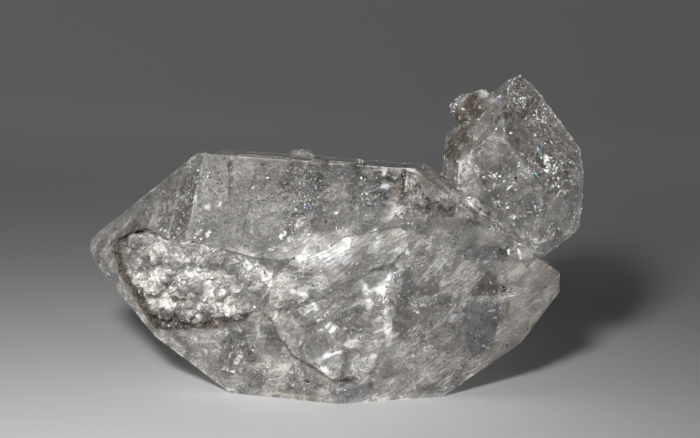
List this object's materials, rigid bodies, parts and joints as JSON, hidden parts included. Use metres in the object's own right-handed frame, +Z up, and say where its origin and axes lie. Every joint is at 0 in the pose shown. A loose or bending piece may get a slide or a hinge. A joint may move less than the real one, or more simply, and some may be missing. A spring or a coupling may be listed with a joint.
{
  "type": "herkimer diamond",
  "caption": "Doubly terminated clear quartz crystal lying on a prism face, with a smaller crystal grown into its back shoulder, a drusy hollow and a broken scar in front.",
  "frame": {"origin": "on the surface it rests on, under the middle of its outline", "axes": "+X along the long crystal towards the end with the smaller crystal, +Z up, the drusy hollow and the scar face -Y"},
  "size_m": [0.0648, 0.0322, 0.0438],
  "materials": {
    "clear_quartz": "clear, glossy natural faces with fine growth lines, frosted where broken",
    "healed_fractures": "thin bright veils and mirror-like flakes inside the crystal",
    "black_specks": "dull black grains of hydrocarbon inside the crystal",
    "brown_film": "dull brown clay and iron film in cracks and hollows"
  },
  "bodies": {
    "root": {"crystal_cluster": "clear_quartz"}
  },
  "joints": []
}
